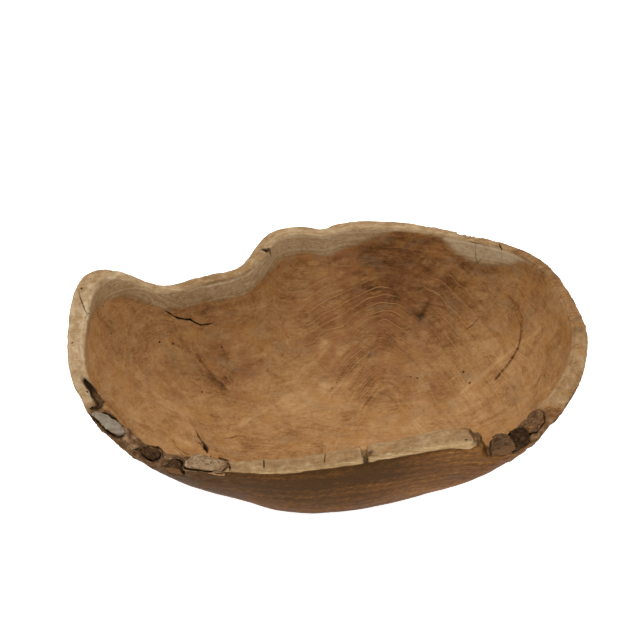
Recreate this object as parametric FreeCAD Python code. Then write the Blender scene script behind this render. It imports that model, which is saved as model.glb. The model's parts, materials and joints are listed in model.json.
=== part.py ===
"""Live-edge bowl carved from one teak root, with the bark and root strands that grew into its rim.

Millimetres, +Z up. The bowl rests on z = 0, and the origin is the middle of its footprint on that plane.
+X is the long way of the bowl. Azimuths are in degrees, anticlockwise from +X, seen from above.
"""

import FreeCAD
import Part

import math
import os

Vector = FreeCAD.Vector

# The live edge of the root: azimuth, radius and height of the rim's outer edge, and the wall's
# thickness at that place.
RIM = [
    (0, 251, 149, 15),
    (12, 246, 154, 14),
    (24, 239, 158, 12),
    (36, 219, 159, 12),
    (48, 198, 160, 14),
    (60, 183, 162, 16),
    (72, 174, 161, 18),
    (84, 168, 158, 18),
    (92, 162, 155, 18),
    (100, 164, 157, 18),
    (110, 165, 156, 18),
    (118, 157, 150, 18),
    (126, 147, 141, 17),
    (134, 149, 135, 16),
    (144, 168, 132, 16),
    (153, 185, 132, 17),
    (159, 201, 144, 20),
    (164, 221, 164, 22),
    (170, 241, 175, 22),
    (178, 249, 170, 20),
    (190, 251, 160, 18),
    (200, 255, 149, 17),
    (208, 254, 131, 22),
    (216, 245, 114, 26),
    (226, 228, 101, 25),
    (238, 200, 98, 22),
    (250, 182, 99, 19),
    (262, 172, 102, 18),
    (274, 165, 105, 18),
    (286, 168, 111, 18),
    (298, 181, 120, 19),
    (309, 206, 126, 21),
    (318, 232, 113, 26),
    (327, 243, 120, 27),
    (338, 251, 135, 20),
    (350, 253, 144, 16),
]

FOOT_LONG = 125.0  # half length of the flat foot, along X
FOOT_WIDE = 106.0  # half width of the flat foot, along Y
FOOT_SQUARENESS = 2.6  # 2 is an ellipse, and more is nearer to a rectangle with rounded corners
FLOOR_LONG = 55.0  # half length of the level middle of the hollow
FLOOR_WIDE = 34.0
FLOOR_HEIGHT = 15.0  # thickness of the wood under that middle
CROWN = 2.0  # how far the middle of the rim stands above the line between its edges
INNER_DROP = 2.0  # how far the rim's inner edge lies below its outer edge

SIDE_FULLNESS = 0.85  # 0 is a straight wall from foot to rim, and 1 a quarter of an ellipse
CORNER_FULLNESS = 0.36  # the same, at the four azimuths between the axes
LEVELS = (0.0, 0.2, 0.42, 0.65, 0.85, 1.0)  # where the section curves of a wall lie, from bottom to rim

# Pieces that grew into the rim, each seated in a pocket of its own shape: the rim's height there, how
# deep the piece goes, the line it follows at the rim as x and y, and its width at each point of that
# line. Where a piece crosses an edge of the rim, it shows on that side of the wall as well.
GROWN_IN = {
    "bark_strip_left": (
        136, 8, ((-220, -92), (-216.5, -99), (-213, -106), (-212, -112.5), (-215, -118), (-221, -120.5)),
        (3, 6, 8.5, 8.5, 5.5, 2),
    ),
    "ingrown_root_lobe": (
        121, 10, ((-211, -120.5), (-205.5, -122.5), (-200.5, -127.5), (-196, -133.5), (-194, -138)),
        (5, 11, 13, 10.5, 5),
    ),
    "bark_block_left": (
        105, 11, ((-166, -143), (-163.5, -148), (-161, -153), (-159, -158)),
        (6, 11, 11, 6),
    ),
    "bark_block_front_left": (
        99, 11, ((-138, -153.5), (-138.5, -160), (-140, -166), (-142, -172)),
        (5, 12, 14, 11),
    ),
    "front_knot": (
        97, 9, ((-127, -158), (-120, -156.5), (-111, -157.5), (-102, -159), (-92, -161)),
        (8, 16, 17, 16, 13),
    ),
    "burl_block_right": (
        114, 14, ((161, -138), (160, -146), (159.5, -155), (160.5, -164)),
        (8, 16.5, 17, 11),
    ),
    "bark_wedge_right": (
        115, 13, ((175, -130.5), (177, -139), (177.5, -148), (176.5, -156)),
        (12, 14.5, 13, 9),
    ),
    "knot_right": (
        120, 12, ((189, -113), (189.5, -120.5), (189, -129), (187.5, -136)),
        (7, 13.5, 13.5, 7),
    ),
}
SEAM = 0.4  # the gap round the sides of each of them
PLUG_LEAN = 35.0  # how far they lean out from upright, as the wall does
PLUG_ABOVE = 12.0  # how far a cutting column runs on above the rim

# Places where the rim is broken away: the x, y and height they are measured from, the direction they
# run along the rim, and the outline of what is gone, as distances along and up.
BREAKS = (
    (
        128.5, -158, 119, -7,
        (
            (-5, 20), (-5, 7.5), (0, 5), (0, 0.5), (6, 0), (8.5, -4),
            (13, -20), (16, -21), (19, -10), (23, -5), (30, 0), (36, 20),
        ),
    ),
    (34, -166, 112, 3, ((-3.5, 8), (-2.8, -10), (2.3, -10), (3, 8))),
)
BREAK_REACH = 60.0  # how far those outlines are carried across the rim


def polar(azimuth, radius, height):
    """A point from its azimuth in degrees, its distance from the Z axis and its height."""
    turn = math.radians(azimuth)
    return Vector(radius * math.cos(turn), radius * math.sin(turn), height)


def oval_radius(azimuth, half_long, half_wide, squareness):
    """The distance from the middle of an oval to its edge at an azimuth."""
    turn = math.radians(azimuth)
    along = abs(math.cos(turn) / half_long) ** squareness
    across = abs(math.sin(turn) / half_wide) ** squareness
    return (along + across) ** (-1 / squareness)


def closed_curve(points):
    """One smooth closed edge through the points. All use the same parameters, so lofts don't twist."""
    count = len(points)
    curve = Part.BSplineCurve()
    curve.interpolate(Points=points, PeriodicFlag=True, Parameters=[i / count for i in range(count + 1)])
    return curve.toShape()


def rim_outer():
    return [polar(azimuth, radius, height) for azimuth, radius, height, _ in RIM]


def moved_left(points, distances, drop=0):
    """The points of a closed outline, each moved to its left, square to the outline, and then down."""
    moved = []
    for i, distance in enumerate(distances):
        along = points[(i + 1) % len(points)] - points[i - 1]
        left = Vector(-along.y, along.x, 0).normalize()
        moved.append(points[i] + left * distance - Vector(0, 0, drop))
    return moved


def rim_inner():
    """The outer edge moved inwards by the wall's thickness at each place."""
    return moved_left(rim_outer(), [wall for _, _, _, wall in RIM], INNER_DROP)


def fullness_at(azimuth):
    """How far the outer wall bellies out: most at the front, back and ends, least at the corners."""
    return CORNER_FULLNESS + (SIDE_FULLNESS - CORNER_FULLNESS) * math.cos(2 * math.radians(azimuth)) ** 2


def section(low, high, level, fullness):
    """Points on a wall between its low and high edges, at one level from 0 to 1."""
    rise = level * math.pi / 2
    points = []
    for a, b, full in zip(low, high, fullness):
        up = 1 - math.cos(rise)
        out = up + (math.sin(rise) - up) * full
        points.append(Vector(a.x + (b.x - a.x) * out, a.y + (b.y - a.y) * out, a.z + (b.z - a.z) * up))
    return points


def oval_edge(rim, half_long, half_wide, squareness, height):
    """The edge of a level oval, at the same azimuths as the rim's points."""
    azimuths = [math.degrees(math.atan2(p.y, p.x)) for p in rim]
    return [polar(a, oval_radius(a, half_long, half_wide, squareness), height) for a in azimuths]


def wall(low, high, fullness):
    """The section curves of a wall, and the smooth surface through them."""
    edges = [closed_curve(section(low, high, level, fullness)) for level in LEVELS]
    return edges, Part.makeLoft([Part.Wire(e) for e in edges], False, False)


def bowl():
    outer, inner = rim_outer(), rim_inner()
    foot = oval_edge(outer, FOOT_LONG, FOOT_WIDE, FOOT_SQUARENESS, 0)
    floor = oval_edge(inner, FLOOR_LONG, FLOOR_WIDE, 2, FLOOR_HEIGHT)
    outer_edges, outer_wall = wall(foot, outer, [fullness_at(station[0]) for station in RIM])
    inner_edges, inner_wall = wall(floor, inner, [1.0 for _ in RIM])
    crest = closed_curve([(a + b) / 2 + Vector(0, 0, CROWN) for a, b in zip(outer, inner)])
    lip = Part.makeLoft([Part.Wire(e) for e in (outer_edges[-1], crest, inner_edges[-1])], False, False)
    lids = [Part.Face(Part.Wire(edges[0])) for edges in (outer_edges, inner_edges)]
    shell = Part.makeShell(outer_wall.Faces + inner_wall.Faces + lip.Faces + lids)
    shell.sewShape()
    solid = Part.Solid(shell)
    solid.fix(0.01, 0.01, 0.01)
    return solid


def ribbon(line, widths, height):
    """The clockwise outline, from above, of a strip along a line, with its width at each point."""
    middle = [Vector(x, y, height) for x, y in line]
    ahead = middle[1:] + middle[-1:]
    behind = middle[:1] + middle[:-1]
    left, right = [], []
    for place, after, before, width in zip(middle, ahead, behind, widths):
        along = (after - before).normalize()
        side = Vector(-along.y, along.x, 0) * width / 2
        left.append(place + side)
        right.append(place - side)
    return left + right[::-1]


def plug(height, depth, line, widths, grow):
    """A leaning column as wide as a strip at the rim, from above it down to a level floor in the wall."""
    edge = ribbon(line, widths, height)
    edge = moved_left(edge, [grow] * len(edge))
    outwards = sum(edge, Vector()) / len(edge)
    outwards.z = 0
    up = outwards.normalize() * math.tan(math.radians(PLUG_LEAN)) + Vector(0, 0, 1)
    floor = closed_curve([point - up * depth for point in edge])
    return Part.Face(Part.Wire(floor)).extrude(up * (depth + PLUG_ABOVE))


def along_rim(x, y, height, turn, profile):
    """An outline drawn along the rim and up, carried across the rim so that it can be cut away."""
    along = polar(turn, 1, 0)
    across = Vector(-along.y, along.x, 0)
    start = Vector(x, y, height) - across * BREAK_REACH / 2
    points = [start + along * run + Vector(0, 0, rise) for run, rise in profile]
    return Part.Face(Part.makePolygon(points + points[:1])).extrude(across * BREAK_REACH)


def save(shape, name):
    """Writes the largest solid of a shape, without the splinters that a break can leave beside it."""
    max(shape.Solids, key=lambda solid: solid.Volume).exportStep("parts/" + name + ".step")


def main():
    os.makedirs("parts", exist_ok=True)
    body = bowl()
    for x, y, height, turn, profile in BREAKS:
        body = body.cut(along_rim(x, y, height, turn, profile))
    for name, place in GROWN_IN.items():
        piece = body.common(plug(*place, 0))
        body = body.cut(plug(*place, SEAM))
        save(piece, name)
    save(body, "bowl_body")


main()
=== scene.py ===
"""A live-edge bowl carved from a teak root, finished over its CAD frame.

Lengths in the tables are millimetres, angles are degrees, and azimuth is measured from +X towards +Y. The
body of the bowl and the pieces grown into its rim are remeshed from the CAD, worn, cracked and drilled by
vertex moves, and coloured by materials that read the masks and the growth-line field stored on each mesh.
"""

import json
import math

import bmesh
import bpy
import numpy as np
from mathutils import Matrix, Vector
from mathutils.bvhtree import BVHTree


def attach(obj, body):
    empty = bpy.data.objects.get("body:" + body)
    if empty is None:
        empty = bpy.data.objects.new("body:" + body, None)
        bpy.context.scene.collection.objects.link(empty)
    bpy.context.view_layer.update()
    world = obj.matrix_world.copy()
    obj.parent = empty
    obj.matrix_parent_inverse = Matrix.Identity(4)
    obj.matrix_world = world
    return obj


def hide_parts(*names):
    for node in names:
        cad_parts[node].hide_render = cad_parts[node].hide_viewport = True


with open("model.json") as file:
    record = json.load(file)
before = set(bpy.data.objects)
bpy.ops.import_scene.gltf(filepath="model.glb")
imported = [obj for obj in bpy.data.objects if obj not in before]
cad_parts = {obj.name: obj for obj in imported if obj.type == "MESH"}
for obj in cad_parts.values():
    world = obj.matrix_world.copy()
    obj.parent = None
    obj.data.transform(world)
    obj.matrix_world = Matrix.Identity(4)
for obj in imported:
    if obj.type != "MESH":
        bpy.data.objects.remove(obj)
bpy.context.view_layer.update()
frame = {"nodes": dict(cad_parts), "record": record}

MM = 0.001

# ---------------------------------------------------------------- where things are on the wood

BODY_VOXEL = 1.8
INSERT_VOXEL = 0.8
EVENING_ROUNDS = 2  # of relaxing, which take the steps of the voxels out of the body
INSERT_ROUNDS = 3  # the same, for the pieces grown into the rim
SOFTENING_ROUNDS = 24  # of relaxing, where the rim is fully soft
HOLE_DEPTH = 2.5
# how dark the painted shade in the insect holes is
HOLE_DARKNESS = 0.85
GROOVE_DEPTH = 1.3  # of the groove under the pale lip at the front

# How far the pale sapwood reaches down the inner wall from the rim: azimuth, depth.
SAPWOOD_DEPTH = (
    (0, 1), (20, 1), (24, 4), (28, 17), (33, 26), (39, 28), (43, 20), (48, 4), (62, 4), (66, 9),
    (72, 16), (80, 25), (90, 27), (97, 24), (105, 27), (118, 28), (135, 25), (147, 22), (156, 30),
    (161, 40), (166, 36), (172, 26), (182, 17), (195, 8), (215, 1), (360, 1),
)

# How pale that sapwood is, from 0, brown, to 1, cream, and paler still above 1: azimuth, paleness.
# From azimuth 28 to 45, where the inner wall faces away from the light, the paleness above 1 is painted
# light.
SAPWOOD_PALENESS = (
    (0, 1.0), (28, 1.25), (45, 1.25), (62, 0.8), (100, 0.85), (145, 0.85), (158, 0.72),
    (185, 0.6), (360, 1.0),
)

# How pale the face of the rim is, in the same measure: azimuth, paleness.
RIM_PALENESS = (
    (0, 0.35), (14, 0.35), (26, 0.45), (28, 0.25), (30, 0.55), (45, 0.68), (60, 0.78), (90, 0.95),
    (112, 0.85), (120, 0.66), (135, 0.66), (150, 0.6), (165, 0.8), (180, 1.05), (206, 1.0),
    (209, 0.25), (231, 0.2), (237, 0.6), (245, 0.62), (290, 0.55), (309, 0.58), (311, 0.15),
    (330, 0.25), (333, 0.5), (346, 0.55), (352, 0.45), (360, 0.3),
)

# How far the pale wood reaches down the outer wall from the rim: azimuth, depth.
OUTER_SAPWOOD = (
    (0, 4), (25, 3), (60, 6), (90, 8), (150, 9), (180, 12), (206, 12), (209, 2), (236, 2), (245, 3),
    (262, 5), (285, 8), (300, 11), (309, 13), (311, 1), (333, 1), (346, 5), (360, 4),
)

# How chipped the rim's edges are: azimuth, depth of the chips.
RIM_WEAR = (
    (0, 0.7), (34, 0.7), (40, 2.6), (54, 2.6), (60, 0.8), (108, 0.8), (120, 2.2), (158, 2.4),
    (165, 0.6), (202, 0.6), (209, 1.8), (235, 1.6), (242, 0.8), (305, 0.8), (312, 1.8), (332, 1.8),
    (338, 1.0), (360, 0.7),
)

# How rounded the rim's edges are, from 0 to 1: azimuth, softness.
RIM_SOFTNESS = (
    (0, 0.3), (60, 0.5), (110, 0.9), (150, 0.9), (185, 0.6), (205, 0.3), (235, 0.1), (310, 0.05),
    (360, 0.3),
)

# How far relaxing the mesh has drawn the outer wall and the rim in: azimuth, distance.
RELAXING_LOSS = (
    (0, 1.1), (190, 1.1), (202, 0), (208, -0.9), (240, -0.9), (248, 0.8), (309, 1.0), (313, 0),
    (332, 0), (338, 1.1), (360, 1.1),
)

# Soft patches in the hollow, lighter or darker, and redder: x, y, radius, strength. The lighter and darker
# ones are partly the wood's own tone and partly painted shade, darkest under the rim at the back.
HOLLOW_TONES = (
    (85, 142, 40, -1.0), (40, 138, 26, -0.45), (134, 118, 30, -0.25), (-217, 10, 30, -0.2),
    (-140, 55, 32, -0.1), (-118, 42, 18, -0.4), (205, 70, 30, -0.1),
    (-28, 36, 55, 0.4), (46, 36, 30, -0.2), (150, 10, 60, 0.4), (60, -40, 60, 0.2),
    (-184, -30, 50, 0.4), (-60, 80, 45, 0.05), (-20, 30, 25, 0.2), (110, 25, 20, -0.3),
)
HOLLOW_REDS = (
    (20, 115, 50, 1.0), (100, 105, 40, 0.5), (-93, 51, 28, 0.7), (-200, -10, 40, 0.6),
    (-130, 60, 30, 0.5), (60, -30, 40, 0.3), (105, 40, 25, 0.6), (-40, -20, 40, 0.3),
)

# Where the growth lines show most: x, y, radius, strength.
FIGURE = (
    (50, 125, 70, 0.7), (20, 100, 50, 0.4), (60, 70, 40, 0.3), (200, 40, 50, 0.4),
)

# Soft streaks of colour in the hollow seen from above: half width, how much lighter or darker, and the line.
STREAKS = (
    (1.6, -0.45, ((-162, 50), (-148, 54), (-136, 55), (-126, 49), (-118, 43), (-111, 38))),
    (4.5, -0.35, ((-111, 38), (-107, 48), (-97, 59), (-82, 66), (-70, 70))),
    (5.5, -0.55, ((-113, 40), (-109, 44))),
    (1.6, -0.5, ((-64, 64), (-54, 61), (-46, 58))),
    (0.9, -0.5, ((-54, 54), (-38, 60))),
    (2.2, -0.6, ((102, 111), (107, 116), (112, 120))),
    (4.5, -0.6, ((100, 108), (103, 113))),
    (0.9, -0.45, ((60, 107), (51, 95), (43, 83), (34, 66), (25, 51))),
    (0.9, -0.45, ((63, 108), (72, 102), (85, 88), (95, 77))),
    (0.8, -0.3, ((38, 23), (46, 38), (61, 45), (72, 34))),
    (1.8, -0.5, ((193, 94), (202, 81), (205, 69), (204, 57))),
    (1.5, -1.1, ((204, 57), (200, 43), (191, 35), (181, 28), (176, 24))),
    (3.0, -0.6, ((147, 119), (151, 119))),
    (2.5, 0.5, ((219, 39), (202, 47), (182, 45), (162, 37), (142, 26))),
    (2.0, 0.5, ((-79, 71), (-66, 76))),
    (4.0, 0.4, ((-3, 56), (16, 60))),
    (1.4, 0.4, ((-90, -9), (-68, 15), (-48, 34))),
    (1.2, 0.35, ((-150, 5), (-142, -12), (-128, -18))),
    (9.0, 0.35, ((-146, -62), (-139, -60))),
    (1.0, -0.9, ((-153, -62), (-146, -73), (-137, -77))),
)

# Cracks and slots seen from above: half width, depth, how dark the painted shade in them is, and the points
# of the line.
CRACKS = (
    (0.8, 5.0, 1.0, ((-172, 56), (-167, 60), (-157, 65), (-144, 72), (-133, 75), (-123, 79), (-115, 80))),
    (0.5, 2.5, 0.9, ((-244, 13), (-240, 0), (-235, -12), (-230, -22))),
    (1.0, 3.0, 0.8, ((-134, -31), (-130, -40), (-126, -47))),
    (2.3, 5.0, 1.0, ((-127, -45), (-123, -53), (-120, -60), (-119, -66))),
    (1.0, 2.5, 0.7, ((-131, -50), (-127, -52), (-124, -57))),
    (0.7, 1.0, 0.7, ((-107, -36), (-98, -32), (-92, -27), (-85, -26), (-79, -33))),
    (0.6, 1.2, 0.8, ((-147, -76), (-142, -82), (-135, -84))),
    (0.5, 0.8, 0.7, ((165, 96), (157, 93), (148, 92))),
    (0.5, 0.5, 0.6, ((192, 95), (197, 89), (204, 62), (202, 49), (195, 38), (185, 28), (176, 23))),
    (0.5, 0.5, 0.5, ((221, -5), (213, -14), (204, -22))),
    (0.9, 3.0, 1.0, ((182, 119), (185, 110))),
    (0.4, 0.5, 0.45, ((146, 126), (151, 122), (156, 122), (160, 118), (168, 115))),
    (0.4, 0.5, 0.4, ((150, 128), (156, 126), (161, 121), (170, 119))),
    (0.7, 3.0, 0.9, ((-58, -151), (-57, -170))),
    (0.6, 2.0, 0.7, ((-2, -150), (-3, -166))),
    (2.2, 6.0, 0.9, ((-70, 126), (-64, 125), (-59, 128))),
    (0.9, 3.5, 1.0, ((-166, -140), (-172, -146), (-178, -149))),
    (0.6, 1.5, 0.8, ((-170, -136), (-162, -141), (-155, -144))),
    (1.3, 1.5, 0.8, ((-152, -150), (-147, -151))),
    (0.7, 2.0, 0.8, ((-141, -156), (-146, -162), (-150, -168))),
    (1.4, 2.0, 0.85, ((-89.5, -152), (-88.5, -161), (-87, -171))),
    (2.2, 0.8, 0.75, ((35, -150), (34, -160), (33.5, -172))),
    (1.0, 2.0, 0.9, ((141, -150), (142.5, -158), (144, -164))),
    (0.8, 3.0, 1.0, ((127, -163), (124, -167), (121, -169))),
)

# Insect holes seen from above: x, y, radius.
HOLES = (
    (-241, 14, 1.0), (-223, 21, 0.8), (-227, 9, 0.8), (-217, 47, 0.9), (-231, -16, 0.7),
    (-227, 7, 0.6), (-217, 15, 0.9), (-228, -30, 0.7), (-226, -22, 0.7), (-240, -57, 0.7),
    (-174, 43, 0.9), (-161, 50, 0.9), (-131, 24, 0.8), (-112, 71, 0.8), (-221, -105, 0.9),
    (146, 52, 1.1), (151, 35, 1.1), (-42, 101, 0.6), (11, 62, 0.6), (6, 54, 0.6), (98, 59, 0.8),
    (91, 62, 0.6), (74, 20, 0.6), (102, 13, 0.6),
)

# Dents and breaks in the rim and the wall: x, y, radius, depth.
DENTS = (
    (-176, 62, 5, 2.0), (231, 48, 5, 1.5), (143, 139, 6, 3.0), (151, 135, 6, 4.5),
    (159, 131, 6, 4.0), (-4, 160, 12, 1.5), (-128, 101, 4, 1.5), (-152, -158, 5, 1.5),
    (-74, -172, 4, 1.5),
)

# painted shade in the gaps round the pieces grown into the rim
SEAM_REACH = 1.5  # how far the dark of a seam spreads from a piece grown into the rim

# How dark the painted shade in the seam round a piece is, where it isn't 1.
SEAM_DARKNESS = {"ingrown_root_lobe": 0.55, "front_knot": 0.5, "burl_block_right": 0.8}

# Where the rim is broken, in two zones each: the azimuths over which a zone starts and those over which it
# ends. The outline wavers in the first zones, and the face is bark in the second.
IRREGULAR_RIM = (((202, 206), (243, 247)), ((311, 313), (331, 335)))
BARK_RIM = (((208.5, 210), (231, 234)), ((309.5, 311), (325, 331)))


# ---------------------------------------------------------------- number helpers


def smoothstep(low, high, value):
    part = np.clip((value - low) / (high - low), 0, 1)
    return part * part * (3 - 2 * part)


def around(table, azimuth):
    """The value of an (azimuth, value) table at each azimuth, in degrees."""
    return np.interp(azimuth % 360, [row[0] for row in table], [row[1] for row in table])


def between(azimuth, zones):
    """How far inside any zone, from 0 to 1. A zone is the range it starts in and the one it ends in."""
    inside = np.zeros(len(azimuth))
    for start, end in zones:
        inside = np.maximum(inside, smoothstep(*start, azimuth) * (1 - smoothstep(*end, azimuth)))
    return inside


def noise(points, size, seed):
    """Smooth noise from -1 to 1 at each point, with features of about that size."""
    values = np.random.default_rng(seed).uniform(-1, 1, 8192)
    scaled = points / size + 1000
    cell = np.floor(scaled).astype(np.int64)
    part = scaled - cell
    part = part * part * (3 - 2 * part)
    total = np.zeros(len(points))
    for corner in range(8):
        offset = np.array([corner & 1, corner >> 1 & 1, corner >> 2 & 1])
        x, y, z = (cell + offset).T
        key = (x * 73856093) ^ (y * 19349663) ^ (z * 83492791)
        weight = np.prod(np.where(offset, part, 1 - part), axis=1)
        total += values[(key ^ (key >> 11)) % len(values)] * weight
    return total


def fractal(points, size, octaves, seed):
    """Noise with finer and weaker noise on top of it."""
    total = np.zeros(len(points))
    for octave in range(octaves):
        total += noise(points, size / 2**octave, seed + octave) / 2**octave
    return total


def blobs(points, table):
    """The sum of soft round patches given as x, y, radius and strength."""
    total = np.zeros(len(points))
    for x, y, radius, strength in table:
        far = ((points[:, 0] - x) ** 2 + (points[:, 1] - y) ** 2) / radius**2
        total += strength * np.exp(-far)
    return total


def to_line(points, line):
    """The distance from each point to a line through several places, and how far along it, from 0 to 1."""
    nearest = np.full(len(points), np.inf)
    along = np.zeros(len(points))
    for i, (start, end) in enumerate(zip(line, line[1:])):
        run = end - start
        share = np.clip((points - start) @ run / max(run @ run, 1e-9), 0, 1)
        away = np.linalg.norm(points - start - share[:, None] * run, axis=1)
        closer = away < nearest
        nearest[closer] = away[closer]
        along[closer] = (i + share[closer]) / (len(line) - 1)
    return nearest, along


# ---------------------------------------------------------------- mesh helpers


def places(mesh):
    """A mesh's vertices in millimetres."""
    flat = np.empty(len(mesh.vertices) * 3)
    mesh.vertices.foreach_get("co", flat)
    return flat.reshape(-1, 3) / MM


def normals(mesh):
    flat = np.empty(len(mesh.vertices) * 3)
    mesh.vertex_normals.foreach_get("vector", flat)
    return flat.reshape(-1, 3)


def move_to(mesh, points):
    mesh.vertices.foreach_set("co", (points * MM).ravel())
    mesh.update()


def tree_of(mesh):
    return BVHTree.FromPolygons([v.co for v in mesh.vertices], [p.vertices for p in mesh.polygons])


def remeshed(node, name, voxel):
    """A new object with an even mesh over a CAD node's shape."""
    piece = bpy.data.objects.new(name, frame["nodes"][node].data.copy())
    bpy.context.scene.collection.objects.link(piece)
    modifier = piece.modifiers.new("even", "REMESH")
    modifier.mode = "VOXEL"
    modifier.voxel_size = voxel * MM
    modifier.adaptivity = 0
    modifier.use_smooth_shade = True
    evaluated = piece.evaluated_get(bpy.context.evaluated_depsgraph_get())
    mesh = bpy.data.meshes.new_from_object(evaluated)
    piece.modifiers.clear()
    piece.data = mesh
    mesh.name = name
    mesh.materials.clear()
    return piece


def edge_ends(mesh):
    ends = np.empty(len(mesh.edges) * 2, dtype=np.int64)
    mesh.edges.foreach_get("vertices", ends)
    return ends.reshape(-1, 2)


def relaxed(mesh, points, rounds, strength=0.5):
    """The points after each has moved towards the mean of its neighbours, a number of times."""
    a, b = edge_ends(mesh).T
    count = np.bincount(a, minlength=len(points)) + np.bincount(b, minlength=len(points))
    for _ in range(rounds):
        total = np.zeros_like(points)
        for axis in range(points.shape[1]):
            total[:, axis] = np.bincount(a, points[b, axis], len(points))
            total[:, axis] += np.bincount(b, points[a, axis], len(points))
        points = points + (total / count[:, None] - points) * strength
    return points


def refine(mesh, wanted, cuts):
    """Divides every edge whose two ends are both wanted."""
    work = bmesh.new()
    work.from_mesh(mesh)
    work.verts.ensure_lookup_table()
    edges = [e for e in work.edges if wanted[e.verts[0].index] and wanted[e.verts[1].index]]
    bmesh.ops.subdivide_edges(work, edges=edges, cuts=cuts, use_grid_fill=True)
    bmesh.ops.triangulate(work, faces=[f for f in work.faces if len(f.verts) > 4])
    work.to_mesh(mesh)
    work.free()
    mesh.shade_smooth()


def store(mesh, name, values):
    """A value for each vertex, for the material to read."""
    attribute = mesh.attributes.new(name, "FLOAT", "POINT")
    attribute.data.foreach_set("value", np.asarray(values, dtype=np.float32))


def warped(points):
    """The points where the bark broke the rim, shifted about so that no outline there stays smooth."""
    azimuth = np.degrees(np.arctan2(points[:, 1], points[:, 0])) % 360
    there = between(azimuth, IRREGULAR_RIM) * smoothstep(70, 88, points[:, 2])
    shifts = [1.7 * noise(points, 9, 50 + axis) + 0.9 * noise(points, 4, 53 + axis) for axis in range(3)]
    return points + np.stack(shifts, 1) * there[:, None] * (1, 1, 0.6)


# ---------------------------------------------------------------- the bowl's body


def drop(tree, x, y):
    """The highest place on the wood at x and y, or the nearest place to them, in millimetres."""
    hit = tree.ray_cast(Vector((x, y, 400)) * MM, Vector((0, 0, -1)))
    if hit[0] is None:
        hit = tree.find_nearest(Vector((x, y, 130)) * MM)
    return np.array(hit[0]) / MM


def line_on(tree, points, step=2.0):
    """A line laid on the wood from above, with a point about every step."""
    laid = []
    for start, end in zip(points, points[1:]):
        start, end = np.array(start, float), np.array(end, float)
        count = max(2, int(np.linalg.norm(end - start) / step) + 1)
        for share in np.linspace(0, 1, count):
            laid.append(drop(tree, *(start + (end - start) * share)))
    return np.array(laid)


def crest_of(points):
    """The rim's height at every degree of azimuth."""
    azimuth = np.degrees(np.arctan2(points[:, 1], points[:, 0])) % 360
    top = np.zeros(360)
    np.maximum.at(top, azimuth.astype(int) % 360, points[:, 2])
    ring = np.concatenate([top[-3:], top, top[:3]])
    return np.convolve(ring, np.ones(7) / 7, "valid")


def growth_lines(points, depth, inner):
    """The growth-line field: its level lines are the figure that the wood shows."""
    x, y, z = points.T
    climb = y + z
    hills = []
    for middle, slope, fade, lift, round_off in ((62, 3.4, 0.0110, 0, 20), (-165, 3.2, 0.010, 75, 12)):
        side = np.sqrt((x - middle) ** 2 + round_off**2) - round_off
        hills.append((climb + slope * side) / (1 + fade * side) + lift)
    soft = 9.0
    gap = np.clip(0.5 + 0.5 * (hills[1] - hills[0]) / (2 * soft), 0, 1)
    arches = hills[1] * (1 - gap) + hills[0] * gap - soft * gap * (1 - gap)
    rings = 60 + 1.0 * np.sqrt((x - 20) ** 2 + 0.5 * (y + 60) ** 2 + z**2)
    right = smoothstep(95, 165, x + 0.25 * (y - 60))
    field = arches * (1 - right) + rings * right
    calm = np.exp(-(((x - 50) / 110) ** 2) - ((y - 120) / 75) ** 2)
    unrest = (1.9 - 1.2 * calm) * (1 - 0.75 * right)
    field += unrest * (10 * noise(points, 70, 11) + 5 * noise(points, 26, 12) + 1.8 * noise(points, 11, 13))
    shore = 1 - smoothstep(8, 34, depth)
    field = field * (1 - shore) + (260 - 1.4 * depth) * shore
    outside = 1.1 * z + 9 * noise(points, 90, 14) + 3 * noise(points, 30, 15)
    return field * inner + outside * (1 - inner)


def regions(points, out, azimuth):
    """Each point's depth below the rim, and from 0 to 1, how far it is on the inner wall and on the rim."""
    across = np.hypot(points[:, 0], points[:, 1]).clip(1)
    radial = (out[:, 0] * points[:, 0] + out[:, 1] * points[:, 1]) / across
    crest = crest_of(points)
    depth = np.interp(azimuth % 360, np.arange(361), np.append(crest, crest[0])) - points[:, 2]
    inner = smoothstep(-0.15, 0.15, out[:, 2] - radial)
    rim = smoothstep(0.4, 0.7, out[:, 2]) * (1 - smoothstep(12, 20, depth))
    return depth, inner, rim


def cracked(points, moved, cracks, holes, dents):
    """The moves with the cracks, holes and dents sunk into them, and how dark each point is painted, as
    shade in the cracks and holes.
    """
    dark = np.zeros(len(points))
    wander = 0.45 * noise(points, 6, 30) + 0.35 * noise(points, 2.5, 31)
    for half, deep, how_dark, line in cracks:
        away, along = to_line(points, line)
        taper = np.sqrt(np.sin(np.pi * np.clip(along, 0.02, 0.98)))
        away = away / taper + (wander + 0.3) * half
        inside = 1 - smoothstep(0.4 * half, 1.3 * half, away)
        moved = moved - deep * taper * inside
        dark = np.maximum(dark, how_dark * taper * (1 - smoothstep(0.7 * half, 1.9 * half, away)))
    for place, radius in holes:
        away = np.linalg.norm(points - place, axis=1)
        moved = moved - HOLE_DEPTH * (1 - smoothstep(0.6 * radius, 1.2 * radius, away))
        dark = np.maximum(dark, HOLE_DARKNESS * (1 - smoothstep(0.8 * radius, 1.5 * radius, away)))
    for place, radius, deep in dents:
        away = np.linalg.norm(points - place, axis=1) + 1.2 * noise(points, 3, 33)
        moved = moved - deep * (1 - smoothstep(0.3 * radius, radius, away))
    return moved, dark


def seam_shade(points, depth):
    """How dark each point is painted, as shade in the gap, for being close to a piece grown into the rim."""
    inserts = [
        (tree_of(frame["nodes"][node].data), SEAM_DARKNESS.get(node, 1.0))
        for node in frame["nodes"]
        if node != "bowl_body"
    ]
    seam = np.zeros(len(points))
    close = (depth < 45) & (points[:, 1] < -60)
    for i in np.nonzero(close)[0]:
        spot = Vector(points[i] * MM)
        for tree, darkness in inserts:
            found = tree.find_nearest(spot, SEAM_REACH * MM)
            if found[0] is not None:
                seam[i] = max(seam[i], darkness * (1 - found[3] / (SEAM_REACH * MM)))
    return seam


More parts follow.
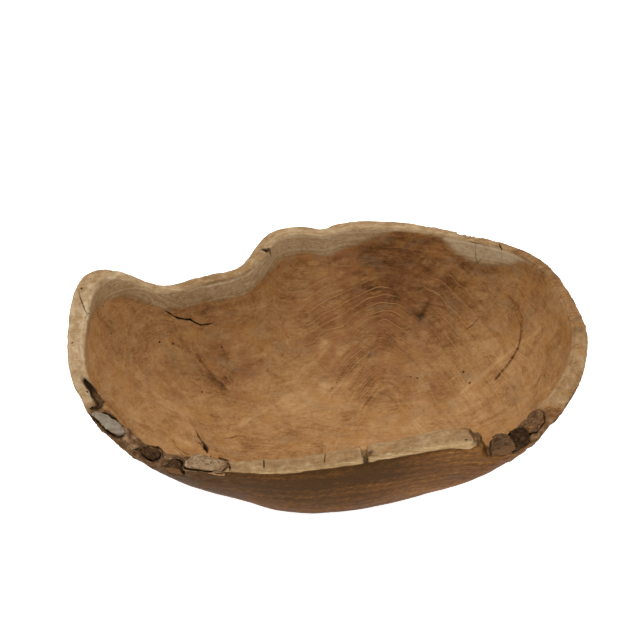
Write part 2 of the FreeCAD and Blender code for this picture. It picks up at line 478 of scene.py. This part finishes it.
def finish_body():
    piece = remeshed("bowl_body", "bowl_wood", BODY_VOXEL)
    mesh = piece.data
    top_tree = tree_of(mesh)
    cracks = [(half, deep, dark, line_on(top_tree, line)) for half, deep, dark, line in CRACKS]
    holes = [(drop(top_tree, x, y), radius) for x, y, radius in HOLES]
    dents = [(drop(top_tree, x, y), radius, deep) for x, y, radius, deep in DENTS]

    points = places(mesh)
    near = np.zeros(len(points), dtype=bool)
    for half, _, _, line in cracks:
        near |= to_line(points, line)[0] < half + 3
    for place, radius in holes:
        near |= np.linalg.norm(points - place, axis=1) < radius + 2.5
    refine(mesh, near, 3)

    points = relaxed(mesh, places(mesh), EVENING_ROUNDS)
    azimuth = np.degrees(np.arctan2(points[:, 1], points[:, 0]))
    soft = around(RIM_SOFTNESS, azimuth)[:, None]
    points = points * (1 - soft) + relaxed(mesh, points, SOFTENING_ROUNDS) * soft
    move_to(mesh, points)
    out = normals(mesh)
    depth, inner, rim = regions(points, out, azimuth)

    # how far each point moves out of the surface
    moved = 0.35 * fractal(points, 45, 2, 21) * inner
    moved += 0.5 * fractal(points, 30, 3, 22) * (1 - inner)
    moved += (0.55 * fractal(points, 9, 3, 23) - 0.2) * rim
    moved += 0.08 * noise(points, 4, 24)
    moved += around(RELAXING_LOSS, azimuth) * np.maximum(1 - inner, rim)
    moved, dark = cracked(points, moved, cracks, holes, dents)
    bark = between(azimuth % 360, BARK_RIM) * np.maximum(rim, (1 - smoothstep(3, 12, depth)) * 0.8)
    moved += bark * (1.1 * fractal(points, 7, 3, 34) - 0.5)
    worn = smoothstep(0.0, 0.45, noise(points, 8, 35) + 0.4 * noise(points, 3, 36))
    edges = np.sqrt(np.clip(4 * rim * (1 - rim), 0, 1)) * (depth < 14)
    moved -= edges * worn * around(RIM_WEAR, azimuth)
    pale_edge = around(OUTER_SAPWOOD, azimuth) + 1.2 * noise(points, 16, 37) + 0.7 * noise(points, 5, 38)
    front = smoothstep(60, 130, -points[:, 1]) * (1 - inner)
    groove = np.exp(-(((depth - pale_edge - 2.5) / 2.2) ** 2)) * front
    moved -= GROOVE_DEPTH * groove
    shaped = warped(points + out * moved[:, None])
    shaped[:, 2] = shaped[:, 2].clip(0)
    move_to(mesh, shaped)

    # where the wood is pale
    sap_edge = around(SAPWOOD_DEPTH, azimuth) + 3.5 * noise(points, 22, 41) + 1.8 * noise(points, 8, 42)
    sap_end = depth - sap_edge
    sap = (1 - smoothstep(-9, 6, sap_end)) * inner * around(SAPWOOD_PALENESS, azimuth)
    # painted shade: a darker band just below the sapwood at the back of the hollow, under the rim
    shore = np.exp(-(((sap_end - 6) / 5) ** 2)) * smoothstep(40, 90, points[:, 1]) * inner
    sap = np.maximum(sap, 0.8 * (1 - smoothstep(-1.0, 1.2, depth - pale_edge)) * (1 - inner))
    face = around(RIM_PALENESS, azimuth + 1.5 * noise(points, 12, 43)) * (0.85 + 0.25 * noise(points, 6, 45))
    sap = sap * (1 - rim) + face * rim

    # how light or dark the brown wood is, with painted shade under the rim, in the groove and below the back
    # sapwood
    # painted shade: a darker band on the outer wall just under the rim, at the front and towards the left
    painted_shade_under_rim = np.exp(-(((depth - 24) / 13) ** 2)) * smoothstep(-30, 80, -points[:, 1])
    painted_shade_under_rim *= 1 - smoothstep(40, 110, points[:, 0])
    # The outer wall is dark, partly its own colour and partly painted shade that offsets the light of the
    # glowing floor; along the groove under the pale lip it is painted darker still, as the groove's shadow.
    # The wall is lighter towards the bottom and to the right.
    outer_tone_and_shade = -1.35 + 0.25 * noise(points, 60, 44) - 0.5 * painted_shade_under_rim - 0.5 * groove
    outer_tone_and_shade += 0.3 * smoothstep(50, 120, depth) + 0.35 * smoothstep(40, 130, points[:, 0])
    streak = np.zeros(len(points))
    for half, strength, line in STREAKS:
        away = to_line(points, line_on(top_tree, line))[0] + 0.5 * half * noise(points, 5, 47)
        streak += strength * np.exp(-((away / half) ** 2))
    tone = (blobs(points, HOLLOW_TONES) + 1.3 * streak) * inner + outer_tone_and_shade * (1 - inner)
    tone -= 0.9 * rim * (1 - around(RIM_PALENESS, azimuth)) + 0.45 * shore
    seam = seam_shade(points, depth) * (0.45 + 0.4 * noise(points, 9, 46)).clip(0.05, 1)

    store(mesh, "growth", growth_lines(points, depth, inner))
    store(mesh, "along", points[:, 0] + 0.6 * points[:, 1] + 0.4 * points[:, 2])
    store(mesh, "sapwood", sap)
    store(mesh, "rim", rim)
    store(mesh, "bark", bark)
    store(mesh, "tone", tone)
    store(mesh, "red", blobs(points, HOLLOW_REDS) * inner)
    store(mesh, "dark", np.maximum(dark, seam))
    store(mesh, "outer", 1 - inner)
    store(mesh, "figure", 0.5 + blobs(points, FIGURE) * inner + 0.3 * (1 - inner))
    mesh.shade_smooth()
    return piece


# ---------------------------------------------------------------- the pieces grown into the rim

ROUGH = {  # lump size, lump height, how far the top stands above the rim
    "bark": (4.0, 1.1, -0.5),
    "pale_root": (9.0, 0.4, 0.2),
    "knot_wood": (6.0, 0.7, 0.1),
}
FRONT_KNOT_BULGE = (-118, 9, 2.2)  # x, half width, height


def finish_insert(node, slot, number):
    piece = remeshed(node, node + "_wood", INSERT_VOXEL)
    mesh = piece.data
    points = relaxed(mesh, places(mesh), INSERT_ROUNDS)
    move_to(mesh, points)
    out = normals(mesh)
    size, height, stand = ROUGH[slot]
    up = smoothstep(0.2, 0.8, out[:, 2])
    moved = height * fractal(points, size, 3, 60 + number) * (0.3 + 0.7 * up) + stand * up
    if node == "front_knot":
        x, half, bulge = FRONT_KNOT_BULGE
        moved += bulge * np.exp(-(((points[:, 0] - x) / half) ** 2)) * up
    low, high = points.min(0), points.max(0)
    middle = (low + high) / 2
    away = np.linalg.norm((points - middle) * np.array([1, 1.4, 1.0]), axis=1)
    swirl = away + 1.2 * noise(points, 6, 80 + number)
    across = (points - middle)[:, 0] * 0.75 + (points - middle)[:, 1] * 0.65
    radial = (out[:, :2] * points[:, :2]).sum(1) / np.hypot(points[:, 0], points[:, 1])
    move_to(mesh, warped(points + out * moved[:, None]))
    store(mesh, "swirl", swirl)
    store(mesh, "across", across + 1.2 * noise(points, 5, 90 + number))
    store(mesh, "edge", 1 - smoothstep(0.1, 0.5, out[:, 2]))
    store(mesh, "outward", smoothstep(0.35, 0.8, radial) * (1 - smoothstep(0.4, 0.7, out[:, 2])))
    mesh.shade_smooth()
    return piece


# ---------------------------------------------------------------- materials


class Nodes:
    """Adds nodes to a material and joins them up."""

    def __init__(self, name):
        self.material = bpy.data.materials.new(name)
        self.material.use_nodes = True
        self.tree = self.material.node_tree
        self.shader = self.tree.nodes["Principled BSDF"]

    def give(self, socket, value):
        if isinstance(value, bpy.types.NodeSocket):
            self.tree.links.new(value, socket)
        else:
            socket.default_value = value

    def add(self, kind, settings=None, **inputs):
        node = self.tree.nodes.new(kind)
        for key, value in (settings or {}).items():
            setattr(node, key, value)
        for key, value in inputs.items():
            self.give(node.inputs[key.replace("_", " ")], value)
        return node

    def math(self, operation, *values, clamp=False):
        node = self.add("ShaderNodeMath", {"operation": operation, "use_clamp": clamp})
        for socket, value in zip(node.inputs, values):
            self.give(socket, value)
        return node.outputs[0]

    def value(self, name):
        return self.add("ShaderNodeAttribute", {"attribute_name": name}).outputs["Fac"]

    def ramp(self, factor, *stops):
        node = self.add("ShaderNodeValToRGB", Fac=factor)
        elements = node.color_ramp.elements
        while len(elements) < len(stops):
            elements.new(0.5)
        for element, (position, color) in zip(elements, stops):
            element.position = position
            element.color = (*color, 1)
        return node.outputs["Color"]

    def band(self, value, low, high, to_low=0.0, to_high=1.0):
        settings = {"interpolation_type": "SMOOTHSTEP"}
        node = self.add("ShaderNodeMapRange", settings, Value=value)
        for name, number in (("From Min", low), ("From Max", high), ("To Min", to_low), ("To Max", to_high)):
            self.give(node.inputs[name], number)
        return node.outputs["Result"]

    def mix(self, factor, a, b, blend="MIX"):
        node = self.add("ShaderNodeMix", {"data_type": "RGBA", "blend_type": blend})
        self.give(node.inputs[0], factor)
        self.give(node.inputs[6], a if isinstance(a, bpy.types.NodeSocket) else (*a, 1))
        self.give(node.inputs[7], b if isinstance(b, bpy.types.NodeSocket) else (*b, 1))
        return node.outputs[2]

    def noise(self, vector, scale, detail=2.0, rough=0.5, distortion=0.0):
        """3-D noise from 0 to 1, by its size in millimetres."""
        node = self.add("ShaderNodeTexNoise", Vector=vector, Scale=1 / scale, Detail=detail)
        self.give(node.inputs["Roughness"], rough)
        self.give(node.inputs["Distortion"], distortion)
        return node.outputs["Fac"]

    def noise_1d(self, value, scale, detail=2.0):
        settings = {"noise_dimensions": "1D"}
        node = self.add("ShaderNodeTexNoise", settings, W=value, Scale=1 / scale, Detail=detail)
        return node.outputs["Fac"]

    def cells_1d(self, value, scale):
        """How far a value is from the nearest edge between random cells of about that size."""
        settings = {"voronoi_dimensions": "1D", "feature": "DISTANCE_TO_EDGE"}
        return self.add("ShaderNodeTexVoronoi", settings, W=value, Scale=1 / scale).outputs["Distance"]

    def vector(self, x, y, z):
        return self.add("ShaderNodeCombineXYZ", X=x, Y=y, Z=z).outputs[0]

    def place(self):
        """The point on the object, in millimetres."""
        node = self.add("ShaderNodeVectorMath", {"operation": "SCALE"})
        self.give(node.inputs[0], self.add("ShaderNodeTexCoord").outputs["Object"])
        self.give(node.inputs["Scale"], 1 / MM)
        return node.outputs[0]

    def stretched(self, vector, factors):
        """The place with each axis scaled, so that noise read there is drawn out where a factor is small."""
        node = self.add("ShaderNodeVectorMath", {"operation": "MULTIPLY"})
        self.give(node.inputs[0], vector)
        node.inputs[1].default_value = factors
        return node.outputs[0]

    def axis(self, vector, name):
        return self.add("ShaderNodeSeparateXYZ", Vector=vector).outputs[name]

    def bump(self, height, distance, strength):
        node = self.add("ShaderNodeBump", Height=height)
        node.inputs["Distance"].default_value = distance * MM
        node.inputs["Strength"].default_value = strength
        return node.outputs[0]

    def around_half(self, value):
        """How far a value from 0 to 1 is from its middle."""
        return self.math("SUBTRACT", value, 0.5)


WOOD_SHEEN = 0.03  # specular level of all the wood, which is dry and unoiled
# the colour of the painted shade in cracks, holes and the seams round the grown-in pieces
CREVICE_SHADE_COLOR = (0.014, 0.008, 0.005)


def wood_material():
    n = Nodes("teak_root")
    place = n.place()
    growth, along = n.value("growth"), n.value("along")
    sap, rim, bark = n.value("sapwood"), n.value("rim"), n.value("bark")
    tone, red, dark, outer = n.value("tone"), n.value("red"), n.value("dark"), n.value("outer")
    figure = n.value("figure")

    ripple = n.math("MULTIPLY_ADD", n.noise(place, 14, 3), 6.0, growth)
    broad = n.noise_1d(ripple, 26, 2)
    fine = n.noise_1d(ripple, 5, 3)
    hair = n.noise_1d(ripple, 1.3, 2)
    cells = n.cells_1d(ripple, 13)
    gate = n.band(n.noise(place, 40, 2), 0.40, 0.56)
    inside = n.math("SUBTRACT", 1.0, outer)
    line = n.math("MULTIPLY", n.math("MULTIPLY", n.band(cells, 0.0, 0.085, 1.0, 0.0), gate), figure)
    line = n.math("MULTIPLY", line, inside)
    below = n.math("MULTIPLY", n.math("MULTIPLY", n.band(cells, 0.05, 0.35, 1.0, 0.0), gate), figure)
    fibre = n.noise(n.vector(growth, n.math("MULTIPLY", along, 0.07), 0.0), 0.9, 3, 0.6)
    grain = n.noise(n.stretched(place, (0.16, 1.0, 1.0)), 1.3, 4, 0.7, 0.4)
    pore = n.band(n.noise(n.stretched(place, (0.3, 1.0, 1.0)), 0.9, 2, 0.5, 0.3), 0.66, 0.76)
    mottle = n.noise(place, 30, 5, 0.68, 0.6)
    speck = n.noise(place, 4, 4, 0.7)
    rise = n.math("MULTIPLY_ADD", n.axis(place, "Z"), 0.8, n.math("MULTIPLY", n.axis(place, "X"), -0.6))
    run = n.math("MULTIPLY_ADD", n.axis(place, "X"), 0.6, n.math("MULTIPLY", n.axis(place, "Z"), 0.8))
    hatch = n.noise(n.vector(n.math("MULTIPLY", run, 0.2), 0.0, rise), 1.3, 2, 0.5, 0.3)
    wisp = n.noise(n.stretched(place, (0.4, 1.0, 1.0)), 24, 6, 0.58, 1.8)
    vein = n.band(n.math("ABSOLUTE", n.around_half(wisp)), 0.0, 0.014, 1.0, 0.0)
    vein = n.math("MULTIPLY", vein, inside)

    level = n.math("MULTIPLY_ADD", tone, 0.30, 0.50)
    for value, strength in (
        (n.math("MULTIPLY_ADD", n.around_half(broad), figure, 0.5), 0.42),
        (n.math("MULTIPLY_ADD", n.around_half(fine), figure, 0.5), 0.24),
        (mottle, n.math("MULTIPLY_ADD", inside, 0.25, 0.35)),
        (fibre, 0.34),
        (grain, 0.62),
        (speck, 0.42),
        (below, -0.10),
        (n.math("MULTIPLY_ADD", n.around_half(wisp), inside, 0.5), 0.60),
        (n.math("MULTIPLY_ADD", n.around_half(hatch), outer, 0.5), 0.50),
    ):
        level = n.math("MULTIPLY_ADD", n.around_half(value), strength, level)
    heart = n.ramp(
        level,
        (0.0, (0.048, 0.022, 0.0080)),
        (0.25, (0.122, 0.050, 0.0160)),
        (0.48, (0.245, 0.117, 0.0415)),
        (0.70, (0.350, 0.190, 0.076)),
        (1.0, (0.46, 0.28, 0.13)),
    )
    warm = n.band(n.noise(place, 24, 3), 0.50, 0.66)
    grey = n.band(n.noise(n.stretched(place, (0.6, 1.0, 1.0)), 17, 4, 0.6), 0.52, 0.68)
    heart = n.mix(n.math("MULTIPLY", n.math("MULTIPLY", warm, inside), 0.36), heart, (0.31, 0.142, 0.036))
    heart = n.mix(n.math("MULTIPLY", n.math("MULTIPLY", grey, inside), 0.32), heart, (0.255, 0.170, 0.092))
    heart = n.mix(n.math("MULTIPLY", vein, 0.22), heart, (0.46, 0.29, 0.135))
    blush = n.math("MULTIPLY", red, n.band(n.noise(place, 18, 3), 0.4, 0.62), clamp=True)
    heart = n.mix(n.math("MULTIPLY", blush, 0.7), heart, (0.225, 0.088, 0.036))
    heart = n.mix(n.math("MULTIPLY", line, 0.5), heart, (0.44, 0.235, 0.092))

    pale_level = n.math("MULTIPLY_ADD", sap, 0.72, n.math("MULTIPLY", rim, 0.12))
    for value, strength in (
        (fine, 0.55), (hair, 0.90), (fibre, 0.45), (grain, 0.45), (speck, 0.75), (mottle, 0.45),
    ):
        pale_level = n.math("MULTIPLY_ADD", n.around_half(value), strength, pale_level)
    pale = n.ramp(
        pale_level,
        (0.0, (0.135, 0.072, 0.030)),
        (0.45, (0.242, 0.150, 0.070)),
        (0.78, (0.345, 0.240, 0.134)),
        (1.0, (0.41, 0.310, 0.200)),
    )
    grime = n.band(n.noise(place, 2.4, 4, 0.7), 0.58, 0.72)
    pale = n.mix(n.math("MULTIPLY", grime, 0.45), pale, (0.115, 0.068, 0.034))
    color = n.mix(n.band(sap, 0.12, 0.62), heart, pale)
    barky = n.ramp(
        n.math("MULTIPLY_ADD", n.around_half(hair), 0.35, n.noise(place, 7, 4, 0.65)),
        (0.30, (0.034, 0.015, 0.006)),
        (0.52, (0.120, 0.062, 0.028)),
        (0.70, (0.250, 0.155, 0.083)),
    )
    color = n.mix(bark, color, barky)
    color = n.mix(n.math("MULTIPLY", pore, 0.42), color, (0.06, 0.028, 0.011))
    weathered = n.math("MULTIPLY", outer, n.band(sap, 0.1, 0.6, 1.0, 0.3))
    color = n.mix(weathered, color, (0.90, 0.87, 0.62), "MULTIPLY")
    color = n.mix(dark, color, CREVICE_SHADE_COLOR)
    n.give(n.shader.inputs["Base Color"], color)
    n.shader.inputs["Specular IOR Level"].default_value = WOOD_SHEEN
    worn = n.math("MULTIPLY_ADD", sap, 0.4, mottle)
    n.give(n.shader.inputs["Roughness"], n.band(worn, 0.3, 1.1, 0.52, 0.78))
    height = n.math("MULTIPLY_ADD", n.math("MULTIPLY", hatch, outer), 0.9, n.math("MULTIPLY", fibre, 0.3))
    height = n.math("MULTIPLY_ADD", grain, 0.3, height)
    height = n.math("MULTIPLY_ADD", pore, -0.35, height)
    height = n.math("MULTIPLY_ADD", speck, n.math("MULTIPLY_ADD", rim, 0.9, 0.2), height)
    n.give(n.shader.inputs["Normal"], n.bump(height, 0.35, 0.6))
    return n.material


# The dark, middle and light shade of each kind of grown-in wood.
SHADES = {
    "bark": ((0.012, 0.006, 0.003), (0.042, 0.020, 0.008), (0.115, 0.062, 0.028)),
    "pale_root": ((0.125, 0.092, 0.060), (0.190, 0.152, 0.108), (0.27, 0.228, 0.175)),
    "knot_wood": ((0.034, 0.016, 0.007), (0.095, 0.048, 0.021), (0.185, 0.105, 0.052)),
}
RING_SIZE = {"bark": 1.8, "knot_wood": 1.6, "pale_root": 3.0}  # how broad its rings or fibres are
DIMMING = {"burl_block_right": 0.76, "bark_wedge_right": 0.68}  # share of the light left, where it isn't 1
# How dark the painted shade on the sides of each kind is, and of one piece that has its own.
SIDE_SHADE_DARKNESS = {"bark": 0.7, "knot_wood": 0.5, "pale_root": 0.25, "front_knot": 0.15}
FRONT_KNOT_SHADES = ((0.085, 0.045, 0.020), (0.21, 0.135, 0.072), (0.34, 0.245, 0.145))


def insert_material(node, slot, number):
    shades = FRONT_KNOT_SHADES if node == "front_knot" else SHADES[slot]
    n = Nodes(slot + "_finish_%d" % number)
    place = n.place()
    swirl = n.math("MULTIPLY_ADD", n.noise(place, 7, 3), 5.0, n.value("swirl"))
    lines = n.value("across") if slot == "bark" else swirl
    rings = n.noise_1d(lines, RING_SIZE[slot], 3)
    rough = n.noise(place, 3.0, 4, 0.65)
    lumps = n.noise(place, 9, 2)
    level = n.math("ADD", n.math("MULTIPLY", rings, 0.50), n.math("MULTIPLY", rough, 0.45))
    level = n.math("MULTIPLY_ADD", n.around_half(lumps), 0.35, level)
    color = n.ramp(level, (0.32, shades[0]), (0.48, shades[1]), (0.66, shades[2]))
    if node == "knot_right":
        color = n.mix(n.band(n.noise(place, 3.5, 2), 0.60, 0.70), color, (0.30, 0.12, 0.028))
    if node == "front_knot":
        color = n.mix(n.band(n.axis(place, "X"), -99, -90, 0.0, 0.75), color, (0.135, 0.062, 0.028))
    if node == "bark_strip_left":
        # painted shadow: the left side of the strip is near black, where the slot beside it lies in shade
        away = n.math("ADD", n.axis(place, "X"), n.math("MULTIPLY", n.axis(place, "Y"), 0.15))
        color = n.mix(n.band(away, -233.5, -229.0, 0.9, 0.0), color, (0.008, 0.004, 0.002))
    dim = DIMMING.get(node, 1.0)
    color = n.mix(1.0, color, (dim, dim, dim), "MULTIPLY")
    edge = SIDE_SHADE_DARKNESS.get(node, SIDE_SHADE_DARKNESS[slot])
    # painted shade on the sides of the piece, which face away from the light above
    color = n.mix(n.math("MULTIPLY", n.value("edge"), edge), color, (0.016, 0.009, 0.005))
    weathered = n.mix(n.math("MULTIPLY", rough, 0.8), (0.13, 0.062, 0.022), (0.05, 0.022, 0.008))
    color = n.mix(n.value("outward"), color, weathered)
    n.give(n.shader.inputs["Base Color"], color)
    n.shader.inputs["Specular IOR Level"].default_value = WOOD_SHEEN
    n.shader.inputs["Roughness"].default_value = 0.8 if slot == "bark" else 0.68
    n.give(n.shader.inputs["Normal"], n.bump(level, 1.0 if slot == "bark" else 0.4, 0.7))
    return n.material


body = finish_body()
body.data.materials.append(wood_material())
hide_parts("bowl_body")
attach(body, "root")

slots = {row["node"]: row["material_slot"] for row in frame["record"]["subparts"]}
for number, node in enumerate(sorted(n for n in frame["nodes"] if n != "bowl_body")):
    insert = finish_insert(node, slots[node], number)
    insert.data.materials.append(insert_material(node, slots[node], number))
    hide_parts(node)
    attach(insert, "root")

# ---------------------------------------------------------------- the set: floor, lights and camera

CAMERA_TARGET = Vector((-0.007, 0.110, 0.068))
CAMERA_DISTANCE = 1.360
CAMERA_ELEVATION = 35.0
LENS = 70  # millimetres, over a sensor 36 wide
FLOOR_GAP = 0.0004  # keeps the floor just clear of the foot, so that neither face flickers through the other
FLOOR_GLOW = 0.8
SKY = 1.1  # strength of the even light from all round
LIGHTS_AIM = (0, 0, 0.05)

# The lights: name, place, size, power.
LIGHTS = (
    ("key", (-0.5, 0.9, 1.9), (1.6, 1.2), 19),
    ("fill", (0.9, -0.9, 1.5), (1.4, 1.4), 5),
)


def floor():
    mesh = bpy.data.meshes.new("floor")
    far = 6.0
    mesh.from_pydata([(-far, -far, 0), (far, -far, 0), (far, far, 0), (-far, far, 0)], [], [(0, 1, 2, 3)])
    plane = bpy.data.objects.new("floor", mesh)
    plane.location.z = -FLOOR_GAP
    bpy.context.scene.collection.objects.link(plane)
    n = Nodes("floor_paper")
    n.shader.inputs["Base Color"].default_value = (0.93, 0.93, 0.93, 1)
    n.shader.inputs["Emission Color"].default_value = (1, 1, 1, 1)
    n.shader.inputs["Emission Strength"].default_value = FLOOR_GLOW
    n.shader.inputs["Roughness"].default_value = 0.9
    mesh.materials.append(n.material)


def area_light(name, place, size, power):
    light = bpy.data.lights.new(name, "AREA")
    light.shape = "RECTANGLE"
    light.size, light.size_y = size
    light.energy = power
    lamp = bpy.data.objects.new(name, light)
    lamp.location = place
    lamp.rotation_euler = (Vector(LIGHTS_AIM) - Vector(place)).to_track_quat("-Z", "Y").to_euler()
    bpy.context.scene.collection.objects.link(lamp)


def camera():
    lens = bpy.data.cameras.new("camera")
    lens.lens = LENS
    lens.sensor_width = 36
    eye = bpy.data.objects.new("camera", lens)
    rise = math.radians(CAMERA_ELEVATION)
    eye.location = CAMERA_TARGET + CAMERA_DISTANCE * Vector((0, -math.cos(rise), math.sin(rise)))
    eye.rotation_euler = (CAMERA_TARGET - eye.location).to_track_quat("-Z", "Y").to_euler()
    bpy.context.scene.collection.objects.link(eye)
    bpy.context.scene.camera = eye


floor()
for light in LIGHTS:
    area_light(*light)
world = bpy.data.worlds.new("studio")
world.use_nodes = True
world.node_tree.nodes["Background"].inputs["Color"].default_value = (1, 1, 1, 1)
world.node_tree.nodes["Background"].inputs["Strength"].default_value = SKY
bpy.context.scene.world = world
bpy.context.scene.view_settings.view_transform = "Standard"
camera()
